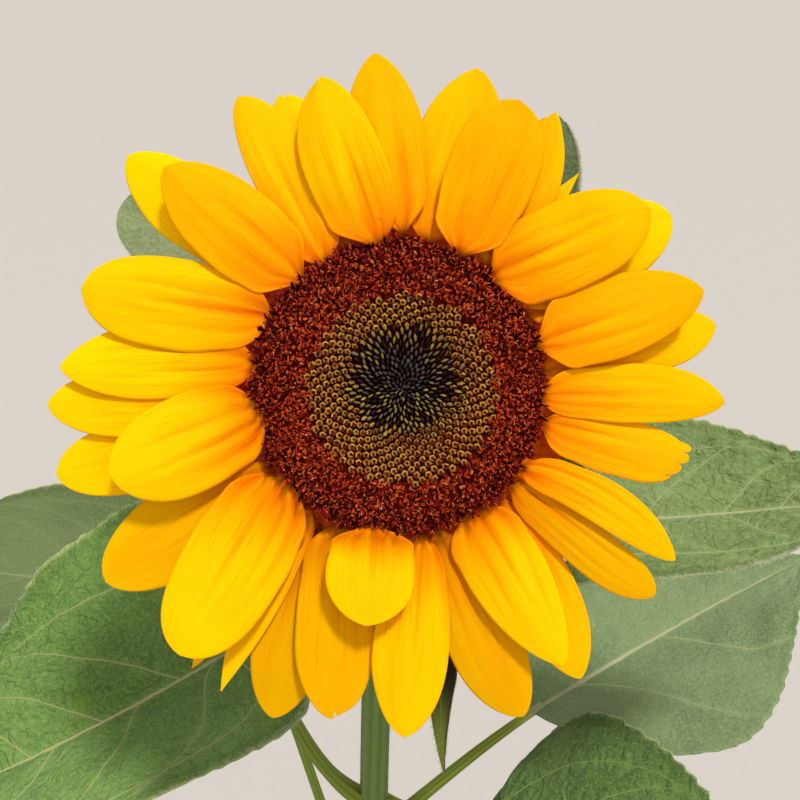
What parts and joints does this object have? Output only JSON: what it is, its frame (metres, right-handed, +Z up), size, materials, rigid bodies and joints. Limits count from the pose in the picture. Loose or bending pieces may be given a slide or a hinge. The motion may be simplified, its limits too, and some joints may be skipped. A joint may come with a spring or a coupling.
{
  "type": "sunflower plant",
  "caption": "Whole flowering sunflower plant rooted in the ground: ribbed stem, broad toothed leaves on long stalks, and one nodding yellow head with a brown disc.",
  "frame": {"origin": "middle of the stem's flat cut at ground level", "axes": "+Z up along the stem, -Y the way the flower head faces, +X to the right seen from the front"},
  "size_m": [0.5324, 0.5364, 1.1497],
  "materials": {
    "stem": "matt, ribbed and hairy",
    "leaf": "matt, veined and rough",
    "bract": "matt and downy",
    "ray": "soft satin with fine veins",
    "disc": "matt, packed with small florets"
  },
  "bodies": {
    "root": {"stem": "stem", "receptacle": "bract", "disc": "disc", "ray_01": "ray", "ray_02": "ray", "ray_03": "ray", "ray_04": "ray", "ray_05": "ray", "ray_06": "ray", "ray_07": "ray", "ray_08": "ray", "ray_09": "ray", "ray_10": "ray", "ray_11": "ray", "ray_12": "ray", "ray_13": "ray", "ray_14": "ray", "ray_15": "ray", "ray_16": "ray", "ray_17": "ray", "ray_18": "ray", "ray_19": "ray", "ray_20": "ray", "ray_21": "ray", "ray_22": "ray", "ray_23": "ray", "ray_24": "ray", "ray_25": "ray", "ray_26": "ray", "ray_27": "ray", "ray_28": "ray", "ray_29": "ray", "ray_30": "ray", "ray_31": "ray", "ray_32": "ray", "ray_33": "ray", "ray_34": "ray", "ray_35": "ray", "leaf_left_front": "leaf", "leaf_left_back": "leaf", "leaf_right_top": "leaf", "leaf_right_back": "leaf", "leaf_right_front": "leaf", "leaf_01": "leaf", "leaf_02": "leaf", "leaf_03": "leaf", "leaf_04": "leaf", "leaf_05": "leaf", "leaf_06": "leaf", "leaf_07": "leaf", "leaf_08": "leaf", "leaf_09": "leaf", "leaf_10": "leaf", "leaf_11": "leaf", "leaf_12": "leaf", "leaf_13": "leaf", "bract_leaf_left": "bract", "bract_leaf_right": "bract", "bract_leaf_low": "bract"}
  },
  "joints": []
}
